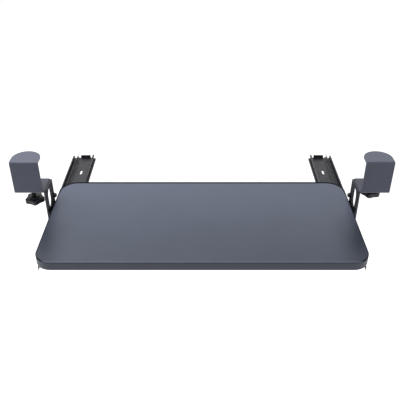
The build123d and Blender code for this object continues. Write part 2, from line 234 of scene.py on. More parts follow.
def skin(solids):
    """Points and faces of closed solids, each an array of shape (rings, around, 3).

    Point (i, j) joins (i, j+1), (i+1, j+1) and (i+1, j). Both end rings close on their middle,
    unless the last ring lies on the first, which makes a closed tube.
    """
    points, quads, fans, start = [], [], [], 0
    for rings in solids:
        count, around = rings.shape[:2]
        index = start + np.arange(count * around).reshape(count, around)
        turned = np.roll(index, -1, axis=1)
        quads.append(np.stack([index[:-1], turned[:-1], turned[1:], index[1:]], -1).reshape(-1, 4))
        points.append(rings.reshape(-1, 3))
        start += count * around
        if np.allclose(rings[0], rings[-1]):
            continue
        for end, ahead, behind in ((0, turned, index), (-1, index, turned)):
            points.append(rings[end].mean(0)[None])
            fans.append(np.stack([np.full(around, start), ahead[end], behind[end]], -1))
            start += 1
    return np.concatenate(points), [face.tolist() for group in quads + fans for face in group]


def tidy_mesh(mesh, sharp_degrees):
    """Merges doubled points, turns all faces outwards and keeps only real edges sharp."""
    shape = bmesh.new()
    shape.from_mesh(mesh)
    bmesh.ops.remove_doubles(shape, verts=shape.verts, dist=SAME_POINT)
    bmesh.ops.recalc_face_normals(shape, faces=shape.faces)
    shape.to_mesh(mesh)
    shape.free()
    mesh.shade_smooth()
    mesh.set_sharp_from_angle(angle=math.radians(sharp_degrees))


def add_piece(name, solids, body, finish, sharp_degrees=40):
    """Makes one object from closed solids given in millimetres and fixes it to its body."""
    points, faces = skin(solids)
    mesh = bpy.data.meshes.new(name)
    mesh.from_pydata((points * MM).tolist(), [], faces)
    tidy_mesh(mesh, sharp_degrees)
    mesh.materials.append(finish.material)
    piece = bpy.data.objects.new(name, mesh)
    bpy.context.scene.collection.objects.link(piece)
    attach(piece, body)
    print(name, len(mesh.polygons), "faces")
    return piece


# %% [markdown]
# ## Softer copies of the exact pieces
#
# The exact pieces have perfectly sharp edges, and no real edge is. A folded steel edge or an
# injected corner catches a thin line of light. So each exact piece is copied, its doubled points
# are merged, and a narrow bevel rounds the edges of the copy. The copy takes over from the
# exact piece in the picture and moves with the same body.
#
# Smooth shading bends the surface's direction near every edge, and on a board this shows as
# streaks. Weighting the directions by area keeps the large faces flat.

# %% Copy an exact piece and soften its edges
FLAT_ANGLE = math.radians(0.5)
SHARP_FROM = 32


def merge_flats(mesh):
    """Joins the triangles of each flat face, so that a bevel runs cleanly along its border."""
    shape = bmesh.new()
    shape.from_mesh(mesh)
    bmesh.ops.remove_doubles(shape, verts=shape.verts, dist=SAME_POINT)
    bmesh.ops.dissolve_limit(shape, angle_limit=FLAT_ANGLE, verts=shape.verts, edges=shape.edges)
    shape.to_mesh(mesh)
    shape.free()


def dress(node, finish, edge_mm):
    """Replaces an exact piece by a copy with a narrow rounding along its sharp edges."""
    mesh = frame["nodes"][node].data.copy()
    if "custom_normal" in mesh.attributes:
        mesh.attributes.remove(mesh.attributes["custom_normal"])
    mesh.materials.clear()
    mesh.materials.append(finish.material)
    merge_flats(mesh)
    tidy_mesh(mesh, SHARP_FROM)
    piece = bpy.data.objects.new(node + "_dressed", mesh)
    bpy.context.scene.collection.objects.link(piece)
    if edge_mm:
        soft = piece.modifiers.new("soft edges", "BEVEL")
        soft.width = edge_mm * MM
        soft.segments = 2
        soft.limit_method = "ANGLE"
        soft.angle_limit = math.radians(SHARP_FROM)
    flats = piece.modifiers.new("flat faces stay flat", "WEIGHTED_NORMAL")
    flats.keep_sharp = True
    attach(piece, BODY_OF[node])
    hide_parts(node)
    return piece


print("the copies are made piece by piece below")

# %% [markdown]
# ## Satin laminate on the board
#
# The board is covered with a blue-grey laminate about as thick as card. Its print is even, its
# feel is a fine pebble, and hands polish it in patches. A light line of painted highlight runs
# along the front. Painted shade turns the tone darker towards the front, and at both sides in
# front of the clamps. These slow changes are painted into the colour, so that they stay the
# same under any lamp.
#
# A near-black, matt line is painted along the sides, the back and round the corners, widest at
# the back. It is a painted dark reflection, as a desk above would mirror in the rounded edge.
# Both lines need the distance to the board's outline. Inside a rectangle with round corners this
# distance is the longer of the two gaps to the sides. In a corner it is measured from the middle
# of the corner's arc.

# %% The board's finish
board_low, board_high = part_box("tray_top_sheet")
FRONT_CORNER = 35 * MM
REAR_CORNER = 40 * MM
SHADE_WIDTH = 75 * MM
SHADE_BEGINS = 40 * MM
SHADE_FULL = -60 * MM
SIDE_LINE = 2.2 * MM
REAR_LINE = 7 * MM
LINE_FADE = 0.5 * MM
FRONT_STRIP = 6 * MM
HIGHLIGHT_LINE_WIDTH = 5 * MM


def from_outline(finish):
    """Signed distance to the board's outline, below 0 on the board, then |x| and y.

    d = |max(q, 0)| + min(max(qx, qy), 0) - R, with q = (|x|, |y|) - (half width, half depth) + R.
    """
    across, along, _ = finish.axes()
    corner = finish.math("GREATER_THAN", along, 0.0) * (REAR_CORNER - FRONT_CORNER) + FRONT_CORNER
    gap_x = abs(across) - board_high.x + corner
    gap_y = abs(along) - board_high.y + corner
    past_x = finish.math("MAXIMUM", gap_x, 0.0)
    past_y = finish.math("MAXIMUM", gap_y, 0.0)
    reach = finish.math("SQRT", past_x * past_x + past_y * past_y)
    within = finish.math("MINIMUM", finish.math("MAXIMUM", gap_x, gap_y), 0.0)
    return reach + within - corner, abs(across), along


laminate = Finish("satin_laminate", specular_tint=(0.86, 0.92, 1.0, 1.0))
to_rim, from_centre, along = from_outline(laminate)
cloud = laminate.noise(110 * MM, 3)
grain = laminate.noise(0.9 * MM, 2)
speckle = laminate.noise(3.2 * MM, 4)
# Painted shade: the tone darkens towards the front and at both sides beside the clamps.
painted_front_shade = along.ramp(board_high.y, board_low.y)
beside_clamps = from_centre.ramp(board_high.x - SHADE_WIDTH, board_high.x)
painted_clamp_shade = beside_clamps * along.ramp(SHADE_BEGINS, SHADE_FULL)
tone_and_painted_shade = painted_clamp_shade * 0.55 + painted_front_shade * 0.55 + (cloud - 0.5) * 0.3 + (speckle - 0.5) * 0.2
laminate_colour = laminate.mix(tone_and_painted_shade, rgb(95, 102, 121), rgb(53, 58, 71))
# Painted highlight: a paler strip of colour along the front edge.
front_edge = along.ramp(board_low.y + FRONT_STRIP, board_low.y + 0.4 * FRONT_STRIP)
painted_front_highlight = front_edge * to_rim.ramp(-HIGHLIGHT_LINE_WIDTH, -0.6 * HIGHLIGHT_LINE_WIDTH)
laminate_colour = laminate.mix(painted_front_highlight * 0.25, laminate_colour, rgb(120, 125, 146))
hand_polish = laminate.noise(60 * MM, 3, (1.0, 2.6, 1.0)).ramp(0.45, 0.75)
laminate.set(base_color=laminate_colour, roughness=0.30 + grain * 0.06 - hand_polish * 0.04)
laminate.bump(grain * 0.7 + speckle * 0.3, 0.05 * MM)
# Painted dark reflection: a near-black, matt line along the sides, the back and the corners.
line = along.ramp(board_high.y - 2 * REAR_CORNER, board_high.y) * (REAR_LINE - SIDE_LINE) + SIDE_LINE
painted_rim = (to_rim + line).ramp(0.0, LINE_FADE) * (1.0 - front_edge)
laminate.matt(painted_rim * 0.96, laminate.mix(speckle, rgb(24, 26, 34), rgb(50, 52, 62)))
print("the trimmed line is", round(SIDE_LINE / MM, 1), "to", round(REAR_LINE / MM, 1), "mm wide")

# %% [markdown]
# ## The laminate sheet
#
# The sheet is a closed skin over rings. Each ring is the board's outline moved inwards by a
# little more than the last one: four quarter circles joined by straight sides. The first rings
# climb the sheet's side and turn over its edge, and the last lies far in on the flat top. The
# edge is eased by less than in the exact model, as a cutter leaves it.

# %% Build the sheet
CORNER_STEPS = 24
EDGE_STEPS = 5
EASED_EDGE = 0.4
SHEET_THICKNESS = 2.0
GUARD_RING = 0.6
LAST_RING = 30.0


def outline(inset):
    """(x, y) = corner centre + (R - inset)(cos a, sin a), for a quarter turn at each corner."""
    half_width, half_depth = board_high.x / MM, board_high.y / MM
    ring = []
    for quarter, radius in enumerate((REAR_CORNER, REAR_CORNER, FRONT_CORNER, FRONT_CORNER)):
        angle = np.linspace(quarter, quarter + 1, CORNER_STEPS) * np.pi / 2
        side_x, side_y = (1, -1, -1, 1)[quarter], (1, 1, -1, -1)[quarter]
        reach = radius / MM - inset
        x = side_x * (half_width - radius / MM) + reach * np.cos(angle)
        y = side_y * (half_depth - radius / MM) + reach * np.sin(angle)
        ring.append(np.stack([x, y], -1))
    return np.concatenate(ring)


turn_over = np.linspace(0, np.pi / 2, EDGE_STEPS)
insets = [0.0] + list(EASED_EDGE * (1 - np.cos(turn_over))) + [EASED_EDGE + GUARD_RING, LAST_RING]
levels = [-SHEET_THICKNESS] + list(EASED_EDGE * (np.sin(turn_over) - 1)) + [0.0, 0.0]
sheet_rings = np.stack([outline(inset) for inset in insets])
sheet_heights = np.broadcast_to(np.array(levels)[:, None, None], sheet_rings.shape[:2] + (1,))
sheet_skin = np.concatenate([sheet_rings, sheet_heights], -1)
sheet = add_piece("top_sheet", [sheet_skin], "tray", laminate)
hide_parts("tray_top_sheet")

# %% [markdown]
# ## Edge band and bare board
#
# A plastic band in the same colour closes the board's edge. A roller pressed it on, which leaves
# faint lines along its length. Dust and shadow darken the groove between the band and the top,
# so a mask on the height paints that groove. The edge of the board behind the groove and the
# face below are dark backing paper over wood fibre.

# %% Band and backing
GROOVE_FLOOR = -3.0 * MM
GROOVE_FADE = 0.3 * MM

band = Finish("edge_band")
band_height = band.axes()[2]
groove = band_height.ramp(GROOVE_FLOOR, GROOVE_FLOOR + GROOVE_FADE)
drawn = band.noise(0.5 * MM, 2, (0.02, 0.02, 1.0))
dull = band.noise(45 * MM, 3)
rubbed = band.edge(0.9 * MM) * band.noise(9 * MM, 4).ramp(0.40, 0.62)
band_colour = band.mix((dull - 0.5) * 0.6 + drawn * 0.3, rgb(82, 86, 102), rgb(66, 69, 84))
band_colour = band.mix(rubbed * 0.5, band_colour, rgb(128, 131, 146))
band.set(base_color=band.mix(groove * 0.9, band_colour, rgb(26, 27, 34)))
band.set(roughness=0.40 + drawn * 0.12 + rubbed * 0.1)
band.bump(drawn * 0.6 + band.noise(0.7 * MM) * 0.4, 0.04 * MM)

backing = Finish("board_backing")
fibres = backing.noise(0.6 * MM, 3, (1.0, 0.25, 1.0))
blotch = backing.noise(30 * MM, 3)
backing.set(base_color=backing.mix(blotch * 0.6 + fibres * 0.4, rgb(40, 41, 46), rgb(60, 60, 64)))
backing.set(roughness=0.62 + fibres * 0.15)
backing.bump(fibres, 0.06 * MM)
print("band and backing are ready")

# %% [markdown]
# ## Powder coat on the clamps
#
# Powder is sprayed dry onto the folded steel and melted in an oven. It dries to a skin with
# shallow bumps, like an orange, and it is thinnest on the folds. There the tone turns lighter
# and a few chips show. Behind the front plate the colour is painted darker, as painted shade
# where a desk above would shade the clamp. A faint dark line of painted shade runs along the
# fold of the top plate.

# %% Clamp paint
FOLD_FRONT = 32 * MM
FOLD_TOP = 123 * MM
FOLD_RADIUS = 4.5 * MM
CLAMP_STEEL = 3 * MM
FOLD_SHADE_PLACE_SHARE = 0.45
FOLD_SHADE_CORE = 0.5 * MM
FOLD_SHADE_EDGE = 1.3 * MM
TONE_FADE = 1 * MM

powder = Finish("powder_coat", coat_roughness=0.30)
peel = powder.pits(1.6 * MM)
dust = powder.noise(0.5 * MM, 2)
drift = powder.noise(22 * MM, 3)
thin = powder.edge(1.1 * MM)
chipped = thin * powder.noise(4 * MM, 5).ramp(0.55, 0.63)
powder_colour = powder.mix((drift - 0.5) * 0.7 + dust * 0.4, rgb(94, 98, 118), rgb(77, 81, 98))
powder_colour = powder.mix(thin * 0.35, powder_colour, rgb(130, 134, 152))
powder_colour = powder.mix(chipped * 0.8, powder_colour, rgb(156, 159, 170))
_, depth_in, height_up = powder.axes()
top_underside = FOLD_TOP - CLAMP_STEEL
front_back = FOLD_FRONT + CLAMP_STEEL
on_top = height_up.ramp(top_underside, top_underside + TONE_FADE)
# Painted shade: a thin dark line along the fold of the top plate.
off_fold_shade = abs(depth_in - (FOLD_FRONT + FOLD_SHADE_PLACE_SHARE * FOLD_RADIUS))
painted_fold_shade = off_fold_shade.ramp(FOLD_SHADE_CORE, FOLD_SHADE_EDGE, 1.0, 0.0) * on_top
powder_colour = powder.mix(painted_fold_shade * 0.6, powder_colour, rgb(44, 46, 56))
# Painted shade: darker behind the front plate, as under a desk.
painted_desk_shade = depth_in.ramp(front_back, front_back + TONE_FADE) * (1.0 - on_top)
powder.set(base_color=powder.mix(painted_desk_shade * 0.7, powder_colour, rgb(52, 54, 65)))
powder.set(roughness=0.43 + drift * 0.08 - thin * 0.08, coat_weight=0.12 + drift * 0.1)
powder.bump(peel * 0.5 + dust * 0.5, 0.05 * MM)
print("powder coat is ready")

# %% [markdown]
# ## Black steel
#
# The carriers are coated black and the slides are dipped in black paint that a current pulls
# onto the steel. Both are thin, so edges shine through. Grease and dust settle in the slides,
# which makes their shine uneven.

# %% Carrier and slide steel
carrier_black = Finish("carrier_black")
haze = carrier_black.noise(18 * MM, 4)
bare = carrier_black.edge(0.8 * MM)
mottled = carrier_black.mix(haze, rgb(26, 27, 33), rgb(44, 45, 54))
carrier_black.set(base_color=carrier_black.mix(bare * 0.5, mottled, rgb(98, 100, 112)))
carrier_black.set(roughness=0.36 + haze * 0.16, metallic=bare * 0.4)
carrier_black.bump(carrier_black.noise(0.8 * MM, 2), 0.03 * MM)

slide_black = Finish("slide_black")
rolled_lines = slide_black.noise(0.9 * MM, 3, (1.0, 0.03, 1.0))
grease = slide_black.noise(12 * MM, 4).ramp(0.42, 0.66)
polished = slide_black.edge(0.7 * MM)
slide_colour = slide_black.mix(rolled_lines * 0.6 + grease * 0.3, rgb(30, 31, 36), rgb(50, 51, 57))
slide_black.set(base_color=slide_black.mix(polished * 0.45, slide_colour, rgb(96, 98, 106)))
slide_black.set(roughness=0.42 - grease * 0.14 + rolled_lines * 0.1, metallic=polished * 0.3)
slide_black.bump(rolled_lines, 0.03 * MM)
print("two black steels are ready")

# %% [markdown]
# ## Bright metal
#
# Screws and pressed plates are plated with zinc, which leaves a cloudy grey-blue shine and
# dull patches. The balls are ground and polished, with only a film of grease on them.

# %% Zinc plate and ball steel
zinc = Finish("zinc_plate", metallic=1.0)
spangle = zinc.noise(5 * MM, 4)
tarnish = zinc.noise(11 * MM, 5).ramp(0.50, 0.70)
zinc_colour = zinc.mix(spangle, rgb(150, 154, 162), rgb(192, 195, 201))
zinc.set(base_color=zinc.mix(tarnish * 0.5, zinc_colour, rgb(118, 118, 118)))
zinc.set(roughness=0.28 + spangle * 0.12 + tarnish * 0.18)
zinc.bump(zinc.noise(0.7 * MM, 3), 0.02 * MM)

polished_steel = Finish("ball_steel", metallic=1.0)
film = polished_steel.noise(2.5 * MM, 3)
polished_steel.set(base_color=polished_steel.mix(film, rgb(196, 198, 202), rgb(224, 226, 229)))
polished_steel.set(roughness=0.10 + film * 0.12)
polished_steel.bump(polished_steel.noise(1 * MM), 0.004 * MM)
print("zinc and ball steel are ready")

# %% [markdown]
# ## Black oxide on the screws
#
# The clamp screws, bolts and nuts are blackened in a hot bath. The layer is part of the steel and
# very thin, so the metal's sheen stays and the crests of a thread rub bright.

# %% Blackened screws
screw_black = Finish("screw_black")
oiled = screw_black.noise(4 * MM, 4)
bright = screw_black.edge(0.35 * MM) * screw_black.noise(2 * MM, 3).ramp(0.3, 0.6)
oxide = screw_black.mix(oiled, rgb(26, 27, 33), rgb(48, 49, 57))
screw_black.set(base_color=screw_black.mix(bright * 0.6, oxide, rgb(140, 142, 148)))
screw_black.set(metallic=0.5 + bright * 0.4, roughness=0.30 + oiled * 0.15)
screw_black.bump(screw_black.noise(0.6 * MM, 2), 0.02 * MM)
print("screws are blackened")

# %% [markdown]
# ## Rubber and moulded plastic
#
# The pads are matt rubber with a fine cell pattern that grips well, dusty on top. Knobs and
# stops come out of spark-eroded moulds, whose fine grit gives the plastic an even, broken shine.
# Fingers rub the lobes of a knob until they gleam.

# %% Rubber, stop plastic and knob plastic
rubber = Finish("rubber", specular_tint=(0.9, 0.9, 0.9, 1.0))
cell = rubber.pits(1.5 * MM)
dusty = rubber.noise(8 * MM, 4).ramp(0.45, 0.75)
rubber.set(base_color=rubber.mix(dusty, rgb(30, 30, 32), rgb(62, 61, 60)))
rubber.set(roughness=0.78 + dusty * 0.12)
rubber.bump(cell, 0.18 * MM)


def moulded(name, dark, light, sheen):
    """A black moulded plastic: eroded grit, soft clouds, and lighter, smoother edges."""
    plastic = Finish(name)
    grit = plastic.noise(0.45 * MM, 2)
    clouds = plastic.noise(9 * MM, 3)
    handled = plastic.edge(1.4 * MM) * plastic.noise(5 * MM, 3).ramp(0.35, 0.6)
    colour = plastic.mix(clouds, dark, light)
    plastic.set(base_color=plastic.mix(handled * 0.45, colour, rgb(84, 86, 96)))
    plastic.set(roughness=sheen + grit * 0.12 - handled * 0.1)
    plastic.bump(grit, 0.05 * MM)
    return plastic


stop_plastic = moulded("stop_plastic", rgb(28, 28, 31), rgb(42, 42, 46), 0.52)
knob_plastic = moulded("knob_plastic", rgb(16, 18, 27), rgb(30, 32, 42), 0.38)
print("rubber and two plastics are ready")

# %% [markdown]
# ## Dressing the exact pieces
#
# The table gives each family of exact pieces its finish and the width of its edge rounding.
# Thin steel is rounded by a few tenths of a millimetre, rubber by a little more. The balls stay
# round as they are.

# %% Softened copies with their finishes
FAMILIES = {
    "clamp_frame": (powder, 0.45),
    "clamp_top_pad": (rubber, 0.5),
    "weld_nut": (powder, 0.3),
    "rail_carrier": (carrier_black, 0.3),
    "slide_outer": (slide_black, 0.2),
    "slide_inner": (slide_black, 0.2),
    "slide_stop": (stop_plastic, 0.4),
    "ball_cage": (zinc, 0.1),
    "pressure_plate": (screw_black, 0.3),
    "pressure_pad": (rubber, 0.5),
    "tray_core": (backing, 0.2),
    "tray_edge_band": (band, 0.3),
    "slide_balls": (polished_steel, 0),
}
for family, (finish, edge_mm) in FAMILIES.items():
    for node in sorted(frame["nodes"]):
        if node == family or node.rsplit("_", 1)[0] == family:
            dress(node, finish, edge_mm)
print(len(FAMILIES), "families are dressed")

# %% [markdown]
# ## Round things
#
# Screws, knobs and nuts are all turned about an axis, so each is written as two arrays: the
# radius and the height of every point, with one row for each ring and one column for each
# angle. A round ring has the same radius in every column. A hexagon or a star has not.

# %% Rings about an axis
AROUND = 120


def angles():
    """The angles of the points of one ring, as a row."""
    return np.linspace(0, 2 * np.pi, AROUND, endpoint=False)[None, :]


def rings(radii, heights):
    """Full arrays from one radius (a number or a whole row) and one height for each ring."""
    radius = np.concatenate([np.broadcast_to(row, (1, AROUND)) for row in radii])
    return radius, np.broadcast_to(np.array(heights, float)[:, None], radius.shape)


def upright(radius, height, centre):
    """(x, y, z) = (cx + r cos a, cy + r sin a, h), about a vertical axis."""
    turn = angles()
    return np.stack([centre[0] + radius * np.cos(turn), centre[1] + radius * np.sin(turn), height], -1)


def sideways(radius, height, seat, direction):
    """(x, y, z) = (sx + d h, sy + r cos a, sz + r sin a), about an axis along x."""
    turn = angles()
    x = seat[0] + direction * height
    return np.stack([x, seat[1] + radius * np.cos(turn), seat[2] + radius * np.sin(turn)], -1)


def join_stacks(*stacks):
    """Stacks of rings laid one after the other."""
    return [np.concatenate(parts) for parts in zip(*stacks)]


def hexagon(flats):
    """Radius of a hexagon with the given size across flats: r = (f / 2) / cos(a to the next flat)."""
    return flats / 2 / np.cos(np.mod(angles(), np.pi / 3) - np.pi / 6)


def middle(node):
    """The middle of an exact piece seen from above, then its lowest and highest z, in mm."""
    low, high = (np.array(corner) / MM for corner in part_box(node))
    return (low[:2] + high[:2]) / 2, low[2], high[2]


print("rings can stand upright or lie sideways")

# %% [markdown]
# ## Threads on the clamp screws
#
# A clamp screw is a rod with a rolled M10 thread. The groove winds round it once for each
# 1.5 mm of length, and its crests are a little flat. As a surface this is a radius that depends
# on both height and angle, which is one line of array arithmetic. Above the thread the rod turns
# to a thin neck, passes through the pressure plate and is swaged over it.

# %% Threaded spindles
SCREW_RADIUS = 5.0
THREAD_PITCH = 1.5
THREAD_DEPTH = 0.85
RINGS_PER_TURN = 8
END_CHAMFER = 1.2
PLATE_GAP = 0.1
NECK_RADIUS = 3.0
SWAGE_RADIUS = 4.5
SWAGE_HEIGHT = 1.2
SWAGE_ROUND = 0.5
FLANK = 1.5
CREST_FLAT = 0.25


def threaded_rod(bottom, top):
    """r = crest - depth * groove(z / pitch - a / turn), cut back by a cone at both ends.

    groove(u) is 0 on the crest and 1 in the root: flank |2 frac(u) - 1| - crest flat, kept in
    0 to 1.
    """
    height = np.linspace(bottom, top, int((top - bottom) / THREAD_PITCH * RINGS_PER_TURN))[:, None]
    wave = np.abs(2 * np.mod(height / THREAD_PITCH - angles() / (2 * np.pi), 1) - 1)
    radius = SCREW_RADIUS - THREAD_DEPTH * np.clip(FLANK * wave - CREST_FLAT, 0, 1)
    from_end = np.minimum(height - bottom, top - height)
    return np.minimum(radius, SCREW_RADIUS - END_CHAMFER + from_end), height + 0 * radius


for side in ("left", "right"):
    axis, foot, tip = middle("clamp_spindle_" + side)
    shoulder = middle("pressure_plate_" + side)[1] - PLATE_GAP
    swage = tip - SWAGE_HEIGHT
    neck = rings(
        [NECK_RADIUS, NECK_RADIUS, SWAGE_RADIUS, SWAGE_RADIUS, SWAGE_RADIUS - SWAGE_ROUND],
        [shoulder, swage, swage, tip - SWAGE_ROUND, tip],
    )
    rod = upright(*join_stacks(threaded_rod(foot, shoulder), neck), axis)
    spindle = add_piece("spindle_" + side, [rod], "screw_" + side, screw_black, 50)
    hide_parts("clamp_spindle_" + side)

# %% [markdown]
# ## Star knobs
#
# The knob under each clamp is a moulded star with five lobes. Its outline is five small circles
# joined by five hollow arcs that touch them. Both arcs are written as a distance from the
# middle at each angle, and the smaller form wins on each side of the point where they touch.

# %% The star's outline
LOBES = 5
LOBE_RADIUS = 6.5
LOBE_RING = 15.5
HOLLOW_RADIUS = 30.0


def star(turn_degrees):
    """Distance from the middle to the star's outline at each angle.

    Lobe: r = R cos b + sqrt(l^2 - R^2 sin^2 b), where b is the angle from the lobe's own line.
    Hollow: r = c cos g - sqrt(h^2 - c^2 sin^2 g), where g is the angle from the hollow's line.
    """
    sector = 2 * np.pi / LOBES
    from_lobe = np.mod(angles() - math.radians(turn_degrees) + sector / 2, sector) - sector / 2
    from_hollow = sector / 2 - np.abs(from_lobe)
    reach = LOBE_RADIUS + HOLLOW_RADIUS
    cosine = LOBE_RING * math.cos(sector / 2)
    far = cosine + math.sqrt(cosine**2 - LOBE_RING**2 + reach**2)
    touch_across = LOBE_RADIUS * far * math.sin(sector / 2) / reach
    touch_out = LOBE_RING + LOBE_RADIUS * (far * math.cos(sector / 2) - LOBE_RING) / reach
    touch = math.atan2(touch_across, touch_out)
    lobe = LOBE_RING * np.cos(from_lobe) + np.sqrt(
        np.maximum(LOBE_RADIUS**2 - (LOBE_RING * np.sin(from_lobe)) ** 2, 0)
    )
    hollow = far * np.cos(from_hollow) - np.sqrt(
        np.maximum(HOLLOW_RADIUS**2 - (far * np.sin(from_hollow)) ** 2, 0)
    )
    return np.where(np.abs(from_lobe) < touch, lobe, hollow)


print("the star reaches", round(float(star(0).max()), 1), "mm from its middle")

# %% [markdown]
# ## Moulding the knobs
#
# A knob is a stack of rings that follow the star. From below they are the dished underside, the
# rounded lower edge, the rounded upper edge and the round boss, whose foot and crest are soft
# too. Each knob has its own turn, as a screw stops wherever it is tight.

# %% Mould both knobs
BOSS_RADIUS = 11.0
BOSS_HEIGHT = 2.5
BOSS_FOOT = ((1.0, 0.0), (0.2, 0.2), (0.0, 0.8))
BOSS_CREST = ((-0.3, -0.3), (-0.8, 0.0))
KNOB_ROUND = 2.2
KNOB_DISH = 1.6
DISH_SHARES = (0.35, 0.6, 0.78)
KNOB_TURN = {"left": -76.0, "right": 177.0}

bend = np.linspace(0, np.pi / 2, EDGE_STEPS)
for side in ("left", "right"):
    axis, foot, crown = middle("star_knob_" + side)
    star_edge = star(KNOB_TURN[side])
    lobe_top = crown - BOSS_HEIGHT
    radii = [star_edge * share for share in DISH_SHARES]
    heights = [foot + KNOB_DISH, foot + KNOB_DISH, foot]
    radii += [star_edge - KNOB_ROUND * (1 - np.sin(step)) for step in bend]
    heights += [foot + KNOB_ROUND * (1 - np.cos(step)) for step in bend]
    radii += [star_edge - KNOB_ROUND * (1 - np.cos(step)) for step in bend]
    heights += [lobe_top - KNOB_ROUND * (1 - np.sin(step)) for step in bend]
    for level, profile in ((lobe_top, BOSS_FOOT), (crown, BOSS_CREST)):
        radii += [BOSS_RADIUS + outwards for outwards, upwards in profile]
        heights += [level + upwards for outwards, upwards in profile]
    knob = upright(*rings(radii, heights), axis)
    star_knob = add_piece("knob_" + side, [knob], "screw_" + side, knob_plastic)
    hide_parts("star_knob_" + side)

# %% [markdown]
# ## Bolts and nuts through the carriers
#
# Each carrier hangs on its clamp by three M6 bolts. Their heads are sunk into the hanging plate,
# so the outside stays flat, and each has a socket for a hexagon key. Inside, the upper bolt ends
# in a cap nut and the lower two in plain nuts, past which a little thread shows. All are stacks
# of rings along the bolt's axis. A cone cuts a nut's corners, so its hexagon ends in a circle.

# %% Profiles of bolts and nuts
BOLT_RADIUS = 3.0
HEAD_RADIUS = 5.5
HEAD_DEPTH = 2.5
KEY_FLATS = 4.0
KEY_DEPTH = 1.8
EDGE_BREAK = 0.25
NUT_FLATS = 10.0
CORNER_CUT = 0.2
CONE_SLOPE = math.tan(math.radians(30))
NUT_HEIGHT = 5.2
CAP_NUT_HEIGHT = 4.5
CAP_RADIUS = 4.75
CAP_HEIGHT = 3.3
DOME_STEPS = 9


def hex_stack(height):
    """A hexagon whose upper corners are cut by a 30 degree cone.

    The cut lies at z = height - (r - flat radius) * tan 30, and the last ring is a circle.
    """
    six = hexagon(NUT_FLATS)
    flat_radius = NUT_FLATS / 2 - CORNER_CUT
    cut = height - (six - flat_radius) * CONE_SLOPE
    radius = np.concatenate([six, six, np.full_like(six, flat_radius)])
    return radius, np.concatenate([0 * six, cut, np.full_like(six, height)])


def sunk_bolt(length):
    """Rings from the socket's floor out over the head, down its cone and along the shank."""
    key = hexagon(KEY_FLATS)
    head = [key, key, key + EDGE_BREAK, HEAD_RADIUS - EDGE_BREAK, HEAD_RADIUS]
    shank = [BOLT_RADIUS, BOLT_RADIUS, BOLT_RADIUS - EDGE_BREAK]
    depths = [KEY_DEPTH, EDGE_BREAK, 0, 0, EDGE_BREAK / 2]
    return rings(head + shank, depths + [HEAD_DEPTH, length - EDGE_BREAK, length])


dome = np.linspace(0, np.pi / 2, DOME_STEPS)[:-1]
cap = rings(CAP_RADIUS * np.cos(dome), CAP_NUT_HEIGHT + CAP_HEIGHT * np.sin(dome))
cap_nut = join_stacks(hex_stack(CAP_NUT_HEIGHT), cap)
bore = rings([BOLT_RADIUS + EDGE_BREAK, BOLT_RADIUS], [NUT_HEIGHT, NUT_HEIGHT - EDGE_BREAK])
plain_nut = join_stacks(hex_stack(NUT_HEIGHT), bore)
print("a cap nut is", CAP_NUT_HEIGHT + CAP_HEIGHT, "mm high and a plain nut", NUT_HEIGHT, "mm")

# %% [markdown]
# ## Setting the bolts and nuts in place
#
# On each side the bolts start at the outside of the hanging plate and point inwards. The nuts
# start at the inside of the carrier's ear and point the same way, so one direction serves both.

# %% Set the bolts and nuts
WALL_INSIDE = 347.0
PLATE_OUTSIDE = 353.0
TOP_BOLT = (86.6, 5.5)
LOW_BOLTS = ((46.0, -25.0), (86.6, -25.0))
BOLT_END = 1.5
CAP_BORE = 6.0

wall = PLATE_OUTSIDE - WALL_INSIDE
for side, sign in (("left", -1), ("right", 1)):
    bolts = [sideways(*sunk_bolt(wall + CAP_BORE), (sign * PLATE_OUTSIDE, *TOP_BOLT), -sign)]
    nuts = [sideways(*cap_nut, (sign * WALL_INSIDE, *TOP_BOLT), -sign)]
    for place in LOW_BOLTS:
        length = wall + NUT_HEIGHT + BOLT_END
        bolts.append(sideways(*sunk_bolt(length), (sign * PLATE_OUTSIDE, *place), -sign))
        nuts.append(sideways(*plain_nut, (sign * WALL_INSIDE, *place), -sign))
    made = add_piece("bolts_" + side, bolts, "desk_clamps", screw_black, 30)
    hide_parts("carrier_bolts_" + side)
    made = add_piece("nuts_" + side, nuts, "desk_clamps", screw_black, 30)
    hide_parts("carrier_nuts_" + side)

# %% [markdown]
# ## Screws under the board and rivets in the slides
#
# Three pan-head screws hold each moving slide member up against the board, and two rivets that
# end flush below hold each fixed member down on its carrier. A rivet's head is flat, because the
# ball cage runs just above it. A screwdriver needs a cross in the screw's head. In the grid the
# cross is one more ring whose radius depends on the angle: long along the two arms and short
# between them.

# %% Profiles of screw and rivet heads
PAN_RADIUS = 3.6
PAN_HEIGHT = 2.0
PAN_OUT_SHARES = (0.6, 0.85, 0.96, 1.0, 1.0)
PAN_UP_SHARES = (1.0, 0.97, 0.8, 0.55, 0.3, 0.0)
CROSS_ARM = 1.7
CROSS_HALF_WIDTH = 0.45
CROSS_DEPTH = 1.2
CROSS_FLOOR_SHARE = 0.6
SMALLEST_SINE = 0.01
SLIDE_FLOOR = -31.8
RIVET_RADIUS = 4.0
RIVET_OUT_SHARES = (1.0, 1.0, 0.94, 0.82)
RIVET_UP_SHARES = (0.0, 0.55, 0.9, 1.0)
RIVET_CLEARANCE = 0.1

cage_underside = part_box("ball_cage_left")[0].z / MM
rivet_height = cage_underside - SLIDE_FLOOR - RIVET_CLEARANCE


def cross():
    """r = w / sin(angle to the nearest arm), but no longer than the arm."""
    to_arm = np.abs(np.mod(angles() + np.pi / 4, np.pi / 2) - np.pi / 4)
    return np.minimum(CROSS_ARM, CROSS_HALF_WIDTH / np.maximum(np.sin(to_arm), SMALLEST_SINE))


